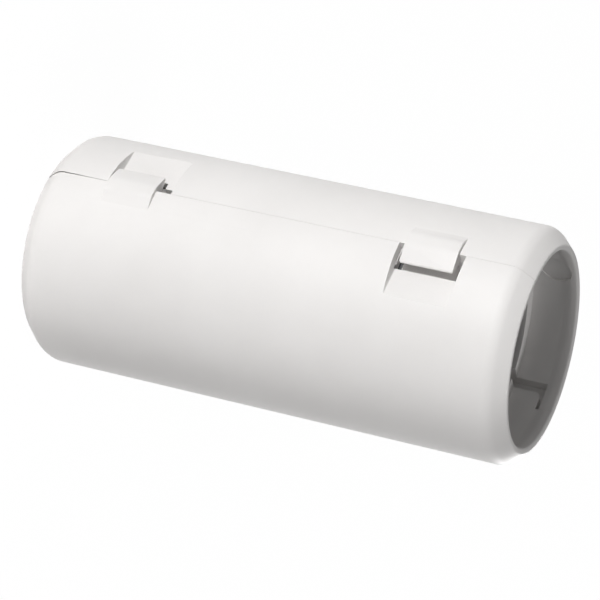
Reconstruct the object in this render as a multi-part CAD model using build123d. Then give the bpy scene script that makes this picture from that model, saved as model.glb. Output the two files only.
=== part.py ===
from build123d import *

import os

# Clip on ferrite bead: two ferrite half sleeves in two moulded half cases that clip together round a
# thin cable. It stands on one end. The cable runs along Z, the halves part on the plane X = 0, the front
# half lies on +X, and the seam with both clips in plain view faces -Y. All sizes are in millimetres.

# Ferrite half sleeves
core_length = 19.5
core_radius = 4.75
cable_bore_radius = 2.5
core_chamfer = 0.25
core_face_gap = 0.04

# Room round the ferrite
core_side_gap = 0.1
core_end_gap = 0.05

# Case wall and ends
wall = 0.865
rib_thickness = 0.35
rib_height = 0.63
end_recess = 2.35
collar_step = 0.13
collar_depth = 0.45
collar_slope = 0.35
bevel_radial = 0.73
bevel_axial = 0.75
bevel_round = 0.8
face_edge_break = 0.06
mouth_edge_break = 0.12

# Seam between the two half cases, which opens a little towards the lower end
seam_gap = 0.04
seam_end_gap = 0.16

# Lap joint inside the seam: a thin lip on one half, in a rebate of the other. The rebate reaches further
# in front of the core rib.
lap_inset = 0.75
lap_thickness = 0.43
lap_side_gap = 0.05
lap_end_gap = 0.18
lip_reach = 0.91
lip_corner = 0.3
rebate_reach = 1.15
rebate_end_reach = 1.43

# Clip tabs: a sloped root, a flat crest over the seam and a face that falls to an undercut tip
tab_inset = 3.55
tab_width = 2.5
tab_reach = 1.0
tab_root = 1.0
tab_root_sink = 0.03
tab_crest_to_root = 0.45
tab_crest_to_tip = 0.1
tab_lift = 0.22
tab_tip_drop = 0.12
tab_tip_thickness = 0.1
tab_corner = 0.2

# Recesses that take the clip tabs, with the gaps beside the tab on the side of the tube's end and on
# the side of its middle. The rear half has the wider one towards the middle.
recess_depth = 0.63
front_recess_gaps = (0.2, 0.38)
rear_recess_gaps = (0.06, 0.6)

# Round marks that the mould's ejector pins leave inside each end
mark_radius = 0.82
mark_inset = 1.1
mark_depth = 0.04

# Sizes that follow
cavity_radius = core_radius + core_side_gap
case_radius = cavity_radius + wall
mouth_radius = cavity_radius - collar_step
rib_radius = cavity_radius - rib_height
case_length = core_length + 2 * (core_end_gap + rib_thickness + end_recess)
middle = case_length / 2
lip_radius = cavity_radius + lap_thickness
rebate_radius = lip_radius + lap_side_gap
floor_height = case_radius - recess_depth
reach = 2 * case_radius


def block(low, high):
    """A box between its lowest and its highest corner."""
    size = [top - bottom for bottom, top in zip(low, high)]
    return Pos(*low) * Box(*size, align=Align.MIN)


def corner(outline, across, along):
    """The corner of a flat outline that lies at the given place."""
    return outline.vertices().sort_by_distance((across, along, 0))[0]


def turned_end_for_end(shape):
    """A shape turned about X through the tube's middle, from one seam and end to the other seam and end."""
    return Pos(0, 0, middle) * Rot(180, 0, 0) * Pos(0, 0, -middle) * shape


def case_ring():
    """The whole round case, before it is parted: bevelled ends, collars, cavity and core ribs."""
    face_radius = case_radius - bevel_radial
    lower = [
        (cavity_radius, middle),
        (cavity_radius, end_recess + rib_thickness),
        (rib_radius, end_recess + rib_thickness),
        (rib_radius, end_recess),
        (cavity_radius, end_recess),
        (cavity_radius, collar_depth + collar_slope),
        (mouth_radius, collar_depth),
        (mouth_radius, 0),
        (face_radius, 0),
        (case_radius, bevel_axial),
        (case_radius, middle),
    ]
    outline = make_face(Polyline(*lower, close=True))
    outline = fillet(corner(outline, case_radius, bevel_axial), bevel_round)
    outline = chamfer(corner(outline, face_radius, 0), face_edge_break)
    outline = chamfer(corner(outline, mouth_radius, 0), mouth_edge_break)
    lower_ring = revolve(Plane.XZ * outline, axis=Axis.Z)
    return lower_ring + turned_end_for_end(lower_ring)


def tongue_plan(tip, root, low, high, round_low, round_high):
    """A block seen from outside the seam: square at its root, with rounded corners at its tip."""
    outline = make_face(Polyline((tip, low), (root, low), (root, high), (tip, high), close=True))
    if round_low > 0:
        outline = fillet(corner(outline, tip, low), round_low)
    if round_high > 0:
        outline = fillet(corner(outline, tip, high), round_high)
    return extrude(Plane.XZ * outline, amount=reach)


def lap_lip():
    """The thin inner lip that bridges the seam, on the half of the length that has the tab."""
    band = Cylinder(lip_radius, case_length, align=(Align.CENTER, Align.CENTER, Align.MIN))
    band -= Cylinder(cavity_radius, case_length, align=(Align.CENTER, Align.CENTER, Align.MIN))
    low = lap_inset + lap_end_gap
    high = middle - lap_side_gap
    return band & tongue_plan(-lip_reach, rebate_reach, low, high, lip_corner, 0)


def lap_rebate():
    """The space for the other half's lip, on the half of the length that has the recess."""
    high = case_length - lap_inset
    rib_low = case_length - end_recess - rib_thickness
    space = Cylinder(rebate_radius, case_length, align=(Align.CENTER, Align.CENTER, Align.MIN))
    plan = block((-seam_gap, -reach, middle), (rebate_reach, 0, high))
    plan += block((-seam_gap, -reach, rib_low), (rebate_end_reach, 0, high))
    return space & plan


def clip_tab():
    """A tab that reaches over the seam into the other half's recess."""
    root_height = (case_radius**2 - tab_root**2) ** 0.5 - tab_root_sink
    crest_height = case_radius + tab_lift
    tip_height = case_radius - tab_tip_drop
    inner_height = (lip_radius**2 - lip_reach**2) ** 0.5
    tip_bottom = tip_height - tab_tip_thickness
    undercut = tip_bottom - inner_height
    outline = make_face(
        Polyline(
            (tab_root, -inner_height),
            (tab_root, -root_height),
            (tab_crest_to_root, -crest_height),
            (-tab_crest_to_tip, -crest_height),
            (-tab_reach, -tip_height),
            (-tab_reach, -tip_bottom),
            (undercut - tab_reach, -inner_height),
            close=True,
        )
    )
    tab = Pos(0, 0, tab_inset) * extrude(outline, amount=tab_width)
    plan = tongue_plan(
        -tab_reach, tab_root, tab_inset, tab_inset + tab_width, tab_corner, tab_corner
    )
    return tab & plan


def clip_recess(end_side_gap, middle_side_gap):
    """The flat-floored recess for the other half's tab, which runs out on the round of the case."""
    high = case_length - tab_inset + end_side_gap
    low = case_length - tab_inset - tab_width - middle_side_gap
    return block((-seam_gap, -reach, low), (case_radius, -floor_height, high))


def ejector_mark():
    """A shallow flat round in the wall inside the lower end, on the half's middle line."""
    pin = Cylinder(mark_radius, cavity_radius + mark_depth, align=(Align.CENTER, Align.CENTER, Align.MIN))
    return Pos(0, 0, mark_inset) * Rot(0, 90, 0) * pin


def seam_wedge():
    """What the seam's edges lose towards the lower end, where the closed case stands a little open."""
    corners = [(0, 0), (seam_end_gap / 2, 0), (seam_gap / 2, tab_inset), (0, tab_inset)]
    outline = make_face(Polyline(*corners, close=True))
    return extrude(Plane.XZ * outline, amount=reach, both=True)


def half_shell(recess_gaps):
    """One moulded half case, on the +X side."""
    shell = case_ring() & block((seam_gap / 2, -reach, 0), (reach, reach, case_length))
    shell -= seam_wedge()
    removed = [lap_rebate(), clip_recess(*recess_gaps), ejector_mark()]
    added = [lap_lip(), clip_tab()]
    for shape in removed:
        shell -= shape
        shell -= turned_end_for_end(shape)
    for shape in added:
        shell += shape
        shell += turned_end_for_end(shape)
    return shell


def half_core():
    """One ferrite half sleeve, on the +X side."""
    low = middle - core_length / 2
    outline = make_face(
        Polyline(
            (cable_bore_radius, low),
            (core_radius, low),
            (core_radius, low + core_length),
            (cable_bore_radius, low + core_length),
            close=True,
        )
    )
    outline = chamfer(outline.vertices(), core_chamfer)
    sleeve = revolve(Plane.XZ * outline, axis=Axis.Z)
    return sleeve & block((core_face_gap / 2, -reach, 0), (reach, reach, case_length))


def turned_to_rear(shape):
    """A front piece turned about the tube's axis to the -X side."""
    return Rot(0, 0, 180) * shape


pieces = {
    "front_shell": half_shell(front_recess_gaps),
    "rear_shell": turned_to_rear(half_shell(rear_recess_gaps)),
    "front_core": half_core(),
    "rear_core": turned_to_rear(half_core()),
}

os.makedirs("parts", exist_ok=True)
for name, piece in pieces.items():
    export_step(piece, f"parts/{name}.step")
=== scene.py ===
import math

import bmesh
import bpy
from mathutils import Matrix, Vector


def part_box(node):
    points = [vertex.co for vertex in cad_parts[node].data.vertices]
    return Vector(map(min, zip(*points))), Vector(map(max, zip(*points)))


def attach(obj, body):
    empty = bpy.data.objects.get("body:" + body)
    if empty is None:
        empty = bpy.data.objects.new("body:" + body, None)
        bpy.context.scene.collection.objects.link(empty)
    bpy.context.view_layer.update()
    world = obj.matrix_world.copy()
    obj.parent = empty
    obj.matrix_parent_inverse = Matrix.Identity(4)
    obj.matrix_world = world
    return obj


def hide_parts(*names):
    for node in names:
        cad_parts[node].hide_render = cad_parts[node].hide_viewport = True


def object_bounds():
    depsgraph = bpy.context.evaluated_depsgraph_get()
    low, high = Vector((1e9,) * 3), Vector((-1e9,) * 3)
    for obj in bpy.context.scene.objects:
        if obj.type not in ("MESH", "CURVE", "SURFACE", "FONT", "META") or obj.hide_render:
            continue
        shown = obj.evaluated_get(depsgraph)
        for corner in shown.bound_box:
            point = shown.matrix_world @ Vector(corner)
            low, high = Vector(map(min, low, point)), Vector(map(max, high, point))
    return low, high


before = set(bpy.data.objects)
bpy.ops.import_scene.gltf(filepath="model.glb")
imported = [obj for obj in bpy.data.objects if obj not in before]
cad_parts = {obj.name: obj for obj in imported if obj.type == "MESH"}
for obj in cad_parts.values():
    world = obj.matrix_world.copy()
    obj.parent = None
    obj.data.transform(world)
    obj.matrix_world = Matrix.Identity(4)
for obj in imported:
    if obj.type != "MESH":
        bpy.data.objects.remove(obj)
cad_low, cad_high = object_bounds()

# Clip on ferrite bead: two white moulded half cases that clip together round two dark ferrite half
# sleeves. Sizes are in millimetres, the pieces are modelled in them, and a finished piece is brought to
# metres by MM. The bead stands on one end, the halves part on the plane X = 0, and the seam with both
# clips in plain view faces -Y.
MM = 0.001

# Case
CASE_LOW, CASE_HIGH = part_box("front_shell")
CASE_LENGTH = (CASE_HIGH.z - CASE_LOW.z) / MM
CASE_RADIUS = CASE_HIGH.x / MM
MIDDLE = CASE_LENGTH / 2
ROUND_STEPS = 192
WALL = 0.865
CAVITY_RADIUS = CASE_RADIUS - WALL
BEVEL_RADIAL = 0.73
BEVEL_AXIAL = 0.75
BEVEL_ROUND = 0.8
BEVEL_SETBACK = BEVEL_ROUND * math.tan(math.pi / 8)
FACE_RADIUS = CASE_RADIUS - BEVEL_RADIAL
COLLAR_STEP = 0.13
COLLAR_DEPTH = 0.45
COLLAR_SLOPE = 0.35
MOUTH_RADIUS = CAVITY_RADIUS - COLLAR_STEP
RIB_HEIGHT = 0.63
RIB_THICKNESS = 0.35
RIB_RADIUS = CAVITY_RADIUS - RIB_HEIGHT
END_RECESS = 2.35

# Roundings of the turned case
FACE_ROUND = 0.06
MOUTH_ROUND = 0.14
COLLAR_ROUND = 0.12
RIB_ROUND = 0.03

# Flats in a rounding: of a wide curve, of a corner seen from outside and of a small edge
CURVE_STEPS = 8
CORNER_STEPS = 6
EDGE_STEPS = 3

# Seam, almost closed, which opens towards the lower end
SEAM_GAP = 0.01
SEAM_END_GAP = 0.15
SEAM_OPEN_FROM = 3.55
SEAM_BEND = 1.6
SEAM_BEND_GAP = 0.055
SEAM_WEDGE_SINK = 0.01

# Lap joint inside the seam
LAP_INSET = 0.75
LAP_END_GAP = 0.18
LAP_SIDE_GAP = 0.05
LAP_THICKNESS = 0.43
LIP_RADIUS = CAVITY_RADIUS + LAP_THICKNESS
LIP_REACH = 0.91
LIP_CORNER = 0.3
REBATE_RADIUS = LIP_RADIUS + LAP_SIDE_GAP
REBATE_REACH = 1.15
REBATE_END_REACH = 1.43

# Clip tab, with its sides measured from the end of the case
FRONT_TAB_SIDES = (3.52, 6.02)
REAR_TAB_SIDES = (3.58, 6.21)
TAB_REACH = 1.0
TAB_ROOT = 1.2
TAB_ROOT_SINK = 0.03
TAB_CREST_TO_ROOT = 0.55
TAB_CREST_TO_TIP = 0.1
TAB_LIFT = 0.22
TAB_CREST_HEIGHT = CASE_RADIUS + TAB_LIFT
TAB_CREST_ROUND = 0.15
TAB_TIP_DROP = 0.12
TAB_TIP_HEIGHT = CASE_RADIUS - TAB_TIP_DROP
TAB_TIP_THICKNESS = 0.1
TAB_UNDERCUT_FALL = 0.4
TAB_CORNER = 0.1
TAB_EDGE = 0.03

# Clip recess, with its two ends measured from the end of the case, and the window in its floor
RECESS_DEPTH = 0.63
RECESS_FLOOR = CASE_RADIUS - RECESS_DEPTH
RECESS_DRAFT = 0.1
RECESS_FILLET = 0.05
FRONT_RECESS_ENDS = (3.35, 6.43)
REAR_RECESS_ENDS = (3.49, 6.65)
WINDOW_REACH = 1.07
WINDOW_NARROW_REACH = 0.72

# Thin web that is left of the lap lip under the tab
WEB_THICKNESS = 0.08
WEB_RADIUS = CAVITY_RADIUS + WEB_THICKNESS

# Ejector pin marks inside the ends
MARK_RADIUS = 0.82
MARK_INSET = 1.1
MARK_DEPTH = 0.04
MARK_STEPS = 48

# How far the cutting tools reach past the case, and how far past the axis where they end in the cavity
CLEAR = 1.5
WEB_BACK = 2
GAP_BACK = 1

# Tests on a mesh: places this near are the same, normals this square face that way, edges this long run
# along the tab, and bends over this angle are edges
NEAR = 0.002
FACING = 0.99
LONG = 1
SHARP_DEGREES = 22


def only(piece):
    """Makes one piece the selected and active one."""
    bpy.ops.object.select_all(action="DESELECT")
    piece.select_set(True)
    bpy.context.view_layer.objects.active = piece


def pick(piece, kind, wanted):
    """Opens a piece in edit mode with those of its FACE or EDGE elements selected that are wanted."""
    only(piece)
    bpy.ops.object.mode_set(mode="EDIT")
    bpy.ops.mesh.select_mode(type=kind)
    bpy.ops.mesh.select_all(action="DESELECT")
    mesh = bmesh.from_edit_mesh(piece.data)
    elements = mesh.faces if kind == "FACE" else mesh.edges
    for element in elements:
        if wanted(element):
            element.select_set(True)
    bmesh.update_edit_mesh(piece.data)


def close(piece):
    """Leaves edit mode, so that what was done to the piece is kept."""
    bpy.ops.object.mode_set(mode="OBJECT")
    return piece


def on_circle(radius, height):
    """A test for the edges that lie on a circle round the axis."""

    def wanted(edge):
        return all(
            abs(corner.co.xy.length - radius) < NEAR and abs(corner.co.z - height) < NEAR
            for corner in edge.verts
        )

    return wanted


def turned_end_for_end(piece):
    """A copy turned about X through the middle of the case, to the other seam and the other end."""
    copy = piece.copy()
    copy.data = piece.data.copy()
    bpy.context.scene.collection.objects.link(copy)
    centre = Matrix.Translation((0, 0, MIDDLE))
    copy.data.transform(centre @ Matrix.Rotation(math.pi, 4, "X") @ centre.inverted())
    return copy


def combine(piece, tool, operation):
    """Cuts a tool out of a piece, joins it on or keeps what both share, and takes the tool away."""
    only(piece)
    modifier = piece.modifiers.new("combine", "BOOLEAN")
    modifier.operation = operation
    modifier.solver = "EXACT"
    modifier.object = tool
    bpy.ops.object.modifier_apply(modifier=modifier.name)
    bpy.data.objects.remove(tool)


def combine_at_both_ends(piece, tool, operation):
    """Does the same at the other seam and the other end too."""
    combine(piece, turned_end_for_end(tool), operation)
    combine(piece, tool, operation)


def place(piece):
    """Puts a piece's place, turn and size into its mesh."""
    only(piece)
    bpy.ops.object.transform_apply(location=True, rotation=True, scale=True)
    return piece


def block(low, high):
    """A box between its lowest and its highest corner."""
    low = Vector(low)
    high = Vector(high)
    bpy.ops.object.select_all(action="DESELECT")
    bpy.ops.mesh.primitive_cube_add(size=1, location=(low + high) / 2, scale=high - low)
    return place(bpy.context.object)


def drum(radius, low, high):
    """A round bar along the axis whose flats line up with those of the case."""
    bpy.ops.object.select_all(action="DESELECT")
    bpy.ops.mesh.primitive_cylinder_add(
        vertices=ROUND_STEPS,
        radius=radius,
        depth=high - low,
        location=(0, 0, (low + high) / 2),
        rotation=(0, 0, math.pi / ROUND_STEPS),
    )
    return place(bpy.context.object)


def round_edges(piece, wanted, offset, steps):
    """Rounds the wanted edges, starting at an offset from them."""
    pick(piece, "EDGE", wanted)
    bpy.ops.mesh.bevel(offset=offset, segments=steps, affect="EDGES", clamp_overlap=False)
    close(piece)


def shave(piece, point, normal):
    """Cuts off what lies beyond a plane and closes the cut."""
    pick(piece, "FACE", lambda face: True)
    bpy.ops.mesh.bisect(plane_co=point, plane_no=normal, use_fill=True, clear_outer=True)
    close(piece)


def is_cap(face):
    """Whether a face closes a round bar at one end."""
    return len(face.verts) == ROUND_STEPS


def turned_case():
    """The whole round case before it is parted: bevelled ends, collars, cavity and core ribs."""
    case = drum(CASE_RADIUS, BEVEL_AXIAL, CASE_LENGTH - BEVEL_AXIAL)
    steps = [
        (FACE_RADIUS, 0),
        (MOUTH_RADIUS, 0),
        (MOUTH_RADIUS, COLLAR_DEPTH),
        (CAVITY_RADIUS, COLLAR_DEPTH + COLLAR_SLOPE),
        (CAVITY_RADIUS, END_RECESS),
        (RIB_RADIUS, END_RECESS),
        (RIB_RADIUS, END_RECESS + RIB_THICKNESS),
        (CAVITY_RADIUS, END_RECESS + RIB_THICKNESS),
    ]
    for side in (1, -1):
        pick(case, "FACE", lambda face: is_cap(face) and face.normal.z * side > 0)
        radius = CASE_RADIUS
        depth = BEVEL_AXIAL
        for next_radius, next_depth in steps:
            rise = side * (depth - next_depth)
            bpy.ops.mesh.extrude_region_move(TRANSFORM_OT_translate={"value": (0, 0, rise)})
            scale = next_radius / radius
            bpy.ops.transform.resize(value=(scale, scale, 1), center_override=(0, 0, 0))
            radius = next_radius
            depth = next_depth
        close(case)
    pick(case, "FACE", is_cap)
    bpy.ops.mesh.bridge_edge_loops()
    close(case)
    roundings = [
        (CASE_RADIUS, BEVEL_AXIAL, BEVEL_SETBACK, CURVE_STEPS),
        (FACE_RADIUS, 0, FACE_ROUND, EDGE_STEPS),
        (MOUTH_RADIUS, 0, MOUTH_ROUND, CORNER_STEPS),
        (MOUTH_RADIUS, COLLAR_DEPTH, COLLAR_ROUND, EDGE_STEPS),
        (CAVITY_RADIUS, COLLAR_DEPTH + COLLAR_SLOPE, COLLAR_ROUND, EDGE_STEPS),
        (CAVITY_RADIUS, END_RECESS, RIB_ROUND, EDGE_STEPS),
        (RIB_RADIUS, END_RECESS, RIB_ROUND, EDGE_STEPS),
        (RIB_RADIUS, END_RECESS + RIB_THICKNESS, RIB_ROUND, EDGE_STEPS),
    ]
    for radius, depth, offset, steps in roundings:
        for height in (depth, CASE_LENGTH - depth):
            round_edges(case, on_circle(radius, height), offset, steps)
    return case


def lip_room(recess_ends, tab_sides):
    """The room of the lap lip: a curved strip over the seam, only a thin web below the clip."""
    low = LAP_INSET + LAP_END_GAP
    high = MIDDLE - LAP_SIDE_GAP
    room = block((-LIP_REACH, -CASE_RADIUS, low), (REBATE_REACH, 0, high))

    def tip_corner(edge):
        return all(corner.co.x < 0 and corner.co.z < low + NEAR for corner in edge.verts)

    round_edges(room, tip_corner, LIP_CORNER, CORNER_STEPS)
    combine(room, drum(LIP_RADIUS, 0, CASE_LENGTH), "INTERSECT")
    web = block((-2 * CLEAR, -CASE_RADIUS, tab_sides[0]), (CLEAR, WEB_BACK, tab_sides[1]))
    combine(web, drum(WEB_RADIUS, 0, MIDDLE), "INTERSECT")
    gap = block((-CLEAR, -CASE_RADIUS, recess_ends[0]), (0, GAP_BACK, recess_ends[1]))
    combine(gap, web, "DIFFERENCE")
    combine(room, gap, "DIFFERENCE")
    return room


def far_side(recess_ends, tab_sides):
    """All that a half case loses beyond the seam: the whole far side, apart from its own lap lips."""
    outer = CASE_RADIUS + CLEAR
    side = block((-outer, -outer, -CLEAR), (SEAM_GAP / 2, outer, CASE_LENGTH + CLEAR))
    combine_at_both_ends(side, lip_room(recess_ends, tab_sides), "DIFFERENCE")
    return side


def seam_wedge():
    """A thin wedge that opens the seam towards the lower end, first a little and then more."""
    outer = CASE_RADIUS + CLEAR
    wedge = block((-CLEAR, -outer, 0), (SEAM_GAP / 2, outer, SEAM_OPEN_FROM))
    pick(wedge, "FACE", lambda face: True)
    bpy.ops.mesh.bisect(plane_co=(0, 0, SEAM_BEND), plane_no=(0, 0, 1))
    close(wedge)
    for height, gap in ((0, SEAM_END_GAP), (SEAM_BEND, SEAM_BEND_GAP)):

        def far_edge(edge):
            return all(corner.co.x > 0 and abs(corner.co.z - height) < NEAR for corner in edge.verts)

        pick(wedge, "EDGE", far_edge)
        bpy.ops.transform.translate(value=((gap - SEAM_GAP) / 2, 0, 0))
        close(wedge)
    pick(wedge, "FACE", lambda face: face.normal.z < -FACING)
    bpy.ops.transform.translate(value=(0, 0, -SEAM_WEDGE_SINK))
    return close(wedge)


def lap_rebate(reach, low, high):
    """A stretch of the space for the other half's lip."""
    space = block((-SEAM_GAP, -CASE_RADIUS, low), (reach, 0, high))
    combine(space, drum(REBATE_RADIUS, 0, CASE_LENGTH), "INTERSECT")
    return space


def clip_recess(recess_ends):
    """The recess for the other half's tab: a flat floor, and drafted ends with a fillet."""
    high = CASE_LENGTH - recess_ends[0]
    low = CASE_LENGTH - recess_ends[1]
    outer = CASE_RADIUS + CLEAR
    recess = block((-SEAM_GAP, -outer, low), (CASE_RADIUS, -RECESS_FLOOR, high))
    length = high - low
    draft = RECESS_DRAFT * (outer - RECESS_FLOOR) / (CASE_RADIUS - RECESS_FLOOR)
    widening = (length + 2 * draft) / length
    pick(recess, "FACE", lambda face: face.normal.y < -FACING)
    bpy.ops.transform.resize(value=(1, 1, widening), center_override=(0, 0, (low + high) / 2))
    close(recess)

    def foot(edge):
        ends = [corner.co for corner in edge.verts]
        on_floor = all(abs(end.y + RECESS_FLOOR) < NEAR for end in ends)
        return on_floor and abs(ends[0].z - ends[1].z) < NEAR

    round_edges(recess, foot, RECESS_FILLET, EDGE_STEPS)
    return recess


def clip_tab(sides):
    """The clip tab: a block shaved to a sloped root, a round crest and an undercut tip."""
    root_height = math.sqrt(CASE_RADIUS**2 - TAB_ROOT**2) - TAB_ROOT_SINK
    low, high = sides
    tab = block((-TAB_REACH, -TAB_CREST_HEIGHT, low), (TAB_ROOT, -LIP_RADIUS, high))

    def tip_corner(edge):
        ends = [corner.co for corner in edge.verts]
        return all(end.x < 0 for end in ends) and abs(ends[0].y - ends[1].y) > NEAR

    round_edges(tab, tip_corner, TAB_CORNER, CORNER_STEPS)
    quarter = math.pi / 2
    crest = Vector((TAB_CREST_TO_ROOT, -TAB_CREST_HEIGHT, 0))
    root = Vector((TAB_ROOT, -root_height, 0))
    shave(tab, root, Matrix.Rotation(-quarter, 3, "Z") @ (root - crest))
    crest = Vector((-TAB_CREST_TO_TIP, -TAB_CREST_HEIGHT, 0))
    tip = Vector((-TAB_REACH, -TAB_TIP_HEIGHT, 0))
    shave(tab, tip, Matrix.Rotation(quarter, 3, "Z") @ (tip - crest))
    shave(tab, (-TAB_REACH, TAB_TIP_THICKNESS - TAB_TIP_HEIGHT, 0), (-TAB_UNDERCUT_FALL, 1, 0))

    def crest_edge(edge):
        ends = [corner.co for corner in edge.verts]
        on_crest = all(abs(end.y + TAB_CREST_HEIGHT) < NEAR for end in ends)
        return on_crest and abs(ends[0].z - ends[1].z) > LONG

    round_edges(tab, crest_edge, TAB_CREST_ROUND, CURVE_STEPS)
    soften(tab, TAB_EDGE)
    return tab


def soften(piece, width):
    """Rounds all sharp edges of a piece a little."""
    only(piece)
    modifier = piece.modifiers.new("soften", "BEVEL")
    modifier.width = width
    modifier.segments = EDGE_STEPS
    modifier.limit_method = "ANGLE"
    modifier.angle_limit = math.radians(SHARP_DEGREES)
    modifier.use_clamp_overlap = False
    bpy.ops.object.modifier_apply(modifier=modifier.name)


def ejector_mark():
    """The flat round that an ejector pin leaves inside the lower end."""
    bpy.ops.object.select_all(action="DESELECT")
    length = CAVITY_RADIUS + MARK_DEPTH
    bpy.ops.mesh.primitive_cylinder_add(
        vertices=MARK_STEPS,
        radius=MARK_RADIUS,
        depth=length,
        location=(length / 2, 0, MARK_INSET),
        rotation=(0, math.pi / 2, 0),
    )
    return place(bpy.context.object)


def half_case(name, tab_sides, recess_ends, window_ends, other_recess_ends):
    """One moulded half case, on the +X side, with its rebates cut stretch by stretch."""
    case = turned_case()
    combine(case, far_side(other_recess_ends, tab_sides), "DIFFERENCE")
    combine(case, seam_wedge(), "DIFFERENCE")
    rebates = [
        (REBATE_REACH, recess_ends[1], MIDDLE),
        (WINDOW_NARROW_REACH, window_ends[1], recess_ends[1]),
        (WINDOW_REACH, recess_ends[0], window_ends[1]),
        (REBATE_REACH, LAP_INSET, recess_ends[0]),
        (REBATE_END_REACH, LAP_INSET, END_RECESS + RIB_THICKNESS),
    ]
    for reach, from_end, to_end in rebates:
        if to_end > from_end:
            space = lap_rebate(reach, CASE_LENGTH - to_end, CASE_LENGTH - from_end)
            combine_at_both_ends(case, space, "DIFFERENCE")
    combine_at_both_ends(case, clip_recess(recess_ends), "DIFFERENCE")
    combine_at_both_ends(case, ejector_mark(), "DIFFERENCE")
    combine_at_both_ends(case, clip_tab(tab_sides), "UNION")
    pick(case, "EDGE", lambda edge: True)
    bpy.ops.mesh.remove_doubles(threshold=NEAR)
    close(case)
    case.name = name
    return case


def finish_piece(piece, node, body, material):
    """Brings a piece to metres, shades it and lets it stand for its CAD node."""
    piece.data.transform(Matrix.Scale(MM, 4))
    piece.data.name = piece.name
    only(piece)
    bpy.ops.object.shade_smooth_by_angle(angle=math.radians(SHARP_DEGREES))
    piece.data.materials.clear()
    piece.data.materials.append(material)
    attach(piece, body)
    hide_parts(node)


class Wire:
    """An output socket of a shader, so that shader maths reads as arithmetic."""

    def __init__(self, finish, socket):
        self.finish = finish
        self.socket = socket

    def _math(self, operation, first, second):
        return self.finish.node("ShaderNodeMath", {"operation": operation}, {0: first, 1: second})

    def __add__(self, other):
        return self._math("ADD", self, other)

    def __radd__(self, other):
        return self._math("ADD", other, self)

    def __sub__(self, other):
        return self._math("SUBTRACT", self, other)

    def __rsub__(self, other):
        return self._math("SUBTRACT", other, self)

    def __mul__(self, other):
        return self._math("MULTIPLY", self, other)

    def __rmul__(self, other):
        return self._math("MULTIPLY", other, self)


class Finish:
    """The nodes of a material or of the world, with one method that adds any node to them."""

    def __init__(self, owner, shader):
        self.owner = owner
        owner.use_nodes = True
        self.tree = owner.node_tree
        self.surface = self.tree.nodes[shader]
        coordinates = "Object" if shader == "Principled BSDF" else "Generated"
        self.place = self.node("ShaderNodeTexCoord", {}, {}, coordinates)

    def node(self, kind, settings, sockets, output=0):
        made = self.tree.nodes.new(kind)
        for setting, value in settings.items():
            setattr(made, setting, value)
        for socket, value in sockets.items():
            self.feed(made.inputs[socket], value)
        return Wire(self, made.outputs[output])

    def feed(self, socket, value):
        if isinstance(value, Wire):
            self.tree.links.new(value.socket, socket)
        else:
            socket.default_value = value

    def noise(self, scale, detail, roughness=0.5):
        sockets = {"Vector": self.place, "Scale": scale, "Detail": detail, "Roughness": roughness}
        return self.node("ShaderNodeTexNoise", {}, sockets)

    def ramp(self, wire, low, high, dark, light):
        """A colour that goes from dark to light as the wire goes from low to high."""
        made = self.node("ShaderNodeValToRGB", {}, {"Fac": wire})
        stops = made.socket.node.color_ramp.elements
        stops[0].position = low
        stops[0].color = (*dark, 1)
        stops[1].position = high
        stops[1].color = (*light, 1)
        return made

    def bump(self, height, distance, strength):
        sockets = {"Height": height, "Distance": distance, "Strength": strength}
        return self.node("ShaderNodeBump", {}, sockets, "Normal")

    def set(self, **sockets):
        for name, value in sockets.items():
            self.feed(self.surface.inputs[name.replace("_", " ")], value)


def new_finish(name):
    return Finish(bpy.data.materials.new(name), "Principled BSDF")


# Colours of the two finishes, and how many grains they have to the metre
CASE_SHADE = (0.852, 0.834, 0.820)
CASE_WHITE = (0.880, 0.862, 0.848)
CASE_CLOUDS = 220.0
CASE_GRAINS = 9000.0
CASE_GRAIN_DEPTH = 0.004
FERRITE_GROUND = (0.045, 0.045, 0.048)
FERRITE_SPECK = (0.11, 0.11, 0.115)
FERRITE_GRAINS = 5200.0
FERRITE_GRAIN_DEPTH = 0.006


def case_plastic():
    """White moulded nylon: satin, very slightly warm, with the fine grain of an eroded mould."""
    finish = new_finish("case_plastic")
    cloud = finish.noise(CASE_CLOUDS, 3.0)
    grain = finish.noise(CASE_GRAINS, 2.0)
    finish.set(
        Base_Color=finish.ramp(cloud, 0.35, 0.65, CASE_SHADE, CASE_WHITE),
        Roughness=0.46 + 0.08 * grain,
        Normal=finish.bump(grain, CASE_GRAIN_DEPTH * MM, 0.6),
    )
    return finish.owner


def ferrite():
    """Dark sintered ferrite: matte, faintly speckled with lighter grains."""
    finish = new_finish("ferrite")
    speckle = finish.noise(FERRITE_GRAINS, 4.0, 0.7)
    finish.set(
        Base_Color=finish.ramp(speckle, 0.42, 0.72, FERRITE_GROUND, FERRITE_SPECK),
        Roughness=0.5 + 0.25 * speckle,
        Normal=finish.bump(speckle, FERRITE_GRAIN_DEPTH * MM, 0.8),
    )
    return finish.owner


def dress(name, material):
    """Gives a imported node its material."""
    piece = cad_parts[name]
    piece.data.materials.clear()
    piece.data.materials.append(material)


# Pale floor under the standing bead, in metres, and how much of it glows for the rays that look at it
FLOOR_SIZE = 6.0
FLOOR_COLOUR = (0.9, 0.9, 0.9, 1)
GLOW_SHARE = 0.95
GLOW = 1.03
LOOKING_RAYS = ("Is Camera Ray", "Is Glossy Ray", "Is Transmission Ray")


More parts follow.
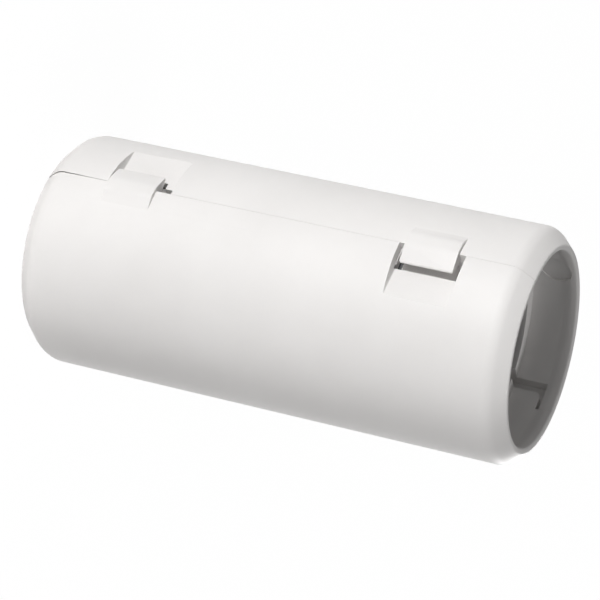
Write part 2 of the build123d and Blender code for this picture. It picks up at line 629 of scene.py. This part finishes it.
def floor_finish():
    """Pale floor that the camera sees almost white, but that keeps the object's shadow."""
    finish = new_finish("floor")
    finish.set(Base_Color=FLOOR_COLOUR, Roughness=0.9)
    rays = finish.tree.nodes.new("ShaderNodeLightPath")
    seen = [Wire(finish, rays.outputs[ray]) for ray in LOOKING_RAYS]
    glow = finish.node("ShaderNodeEmission", {}, {"Color": (1, 1, 1, 1), "Strength": GLOW})
    blend = finish.node(
        "ShaderNodeMixShader",
        {},
        {0: GLOW_SHARE * (seen[0] + seen[1] + seen[2]), 2: glow},
    )
    finish.tree.links.new(finish.surface.outputs[0], blend.socket.node.inputs[1])
    finish.tree.links.new(blend.socket, finish.tree.nodes["Material Output"].inputs["Surface"])
    return finish.owner


def make_floor():
    bpy.ops.object.select_all(action="DESELECT")
    bpy.ops.mesh.primitive_plane_add(size=FLOOR_SIZE)
    floor = bpy.context.object
    floor.name = "floor"
    floor.data.materials.append(floor_finish())


# Camera, worked out from the photograph's view of the tube
FOCAL_PIXELS = 2810.05
IMAGE_PIXELS = 600
SENSOR = 36.0
CAMERA_PLACE = Vector((75.11, -101.92, 60.51))
CAMERA_RIGHT = Vector((-0.3785, 0.1511, 0.9132))
CAMERA_UP = Vector((-0.7418, -0.6396, -0.2015))


def make_camera():
    data = bpy.data.cameras.new("camera")
    data.sensor_width = SENSOR
    data.lens = SENSOR * FOCAL_PIXELS / IMAGE_PIXELS
    data.clip_start = MM
    camera = bpy.data.objects.new("camera", data)
    right = CAMERA_RIGHT.normalized()
    up = (CAMERA_UP - right * CAMERA_UP.dot(right)).normalized()
    turn = Matrix((right, up, right.cross(up))).transposed().to_4x4()
    camera.matrix_world = Matrix.Translation(CAMERA_PLACE * MM) @ turn
    bpy.context.scene.collection.objects.link(camera)
    bpy.context.scene.camera = camera


# Lamps: name, direction, width and height, and watts. All stand equally far from the bead's middle.
LAMP_DISTANCE = 320
STRIP = (160, 24)
PANEL = (60, 60)
LAMPS = [
    ("key", (0.07, -1.0, 0.0), STRIP, 0.66),
    ("side_fill", (1.0, -0.1, 0.0), STRIP, 0.13),
    ("back_fill", (-0.8, -0.6, 0.0), STRIP, 0.04),
    ("rear_fill", (-0.3, 1.0, 0.0), STRIP, 0.35),
    ("end_fill", (0.2, 0.17, 0.97), PANEL, 0.2),
]

# Sky, dimmer overhead
HORIZON_LIGHT = 0.4
ZENITH_LIGHT = 0.06


def soft_lamp(name, direction, size, watts):
    """A soft box that faces the middle of the bead from the given direction."""
    data = bpy.data.lights.new(name, "AREA")
    data.shape = "RECTANGLE"
    data.size = size[0] * MM
    data.size_y = size[1] * MM
    data.energy = watts
    lamp = bpy.data.objects.new(name, data)
    aim = Vector(direction).normalized()
    middle = (cad_low + cad_high) / 2
    turn = aim.to_track_quat("Z", "Y").to_matrix().to_4x4()
    lamp.matrix_world = Matrix.Translation(middle + aim * LAMP_DISTANCE * MM) @ turn
    bpy.context.scene.collection.objects.link(lamp)


def make_light():
    """Soft boxes level with the bead, a small one over its open end, and a pale sky."""
    for lamp in LAMPS:
        soft_lamp(*lamp)
    world = bpy.data.worlds.new("world")
    sky = Finish(world, "Background")
    height = sky.node("ShaderNodeSeparateXYZ", {}, {0: sky.place}, "Z")
    upward = sky.node("ShaderNodeMath", {"operation": "MAXIMUM"}, {0: height, 1: 0.0})
    sky.set(Color=(1, 1, 1, 1), Strength=HORIZON_LIGHT - (HORIZON_LIGHT - ZENITH_LIGHT) * upward)
    bpy.context.scene.world = world
    bpy.context.scene.view_settings.view_transform = "Standard"


make_camera()
make_light()
make_floor()
white = case_plastic()
dark = ferrite()

front = half_case(
    "front_case",
    tab_sides=FRONT_TAB_SIDES,
    recess_ends=FRONT_RECESS_ENDS,
    window_ends=FRONT_RECESS_ENDS,
    other_recess_ends=REAR_RECESS_ENDS,
)
rear = half_case(
    "rear_case",
    tab_sides=REAR_TAB_SIDES,
    recess_ends=REAR_RECESS_ENDS,
    window_ends=FRONT_TAB_SIDES,
    other_recess_ends=FRONT_RECESS_ENDS,
)
rear.data.transform(Matrix.Rotation(math.pi, 4, "Z"))
finish_piece(front, "front_shell", "front_half", white)
finish_piece(rear, "rear_shell", "rear_half", white)
for name in ("front_core", "rear_core"):
    dress(name, dark)
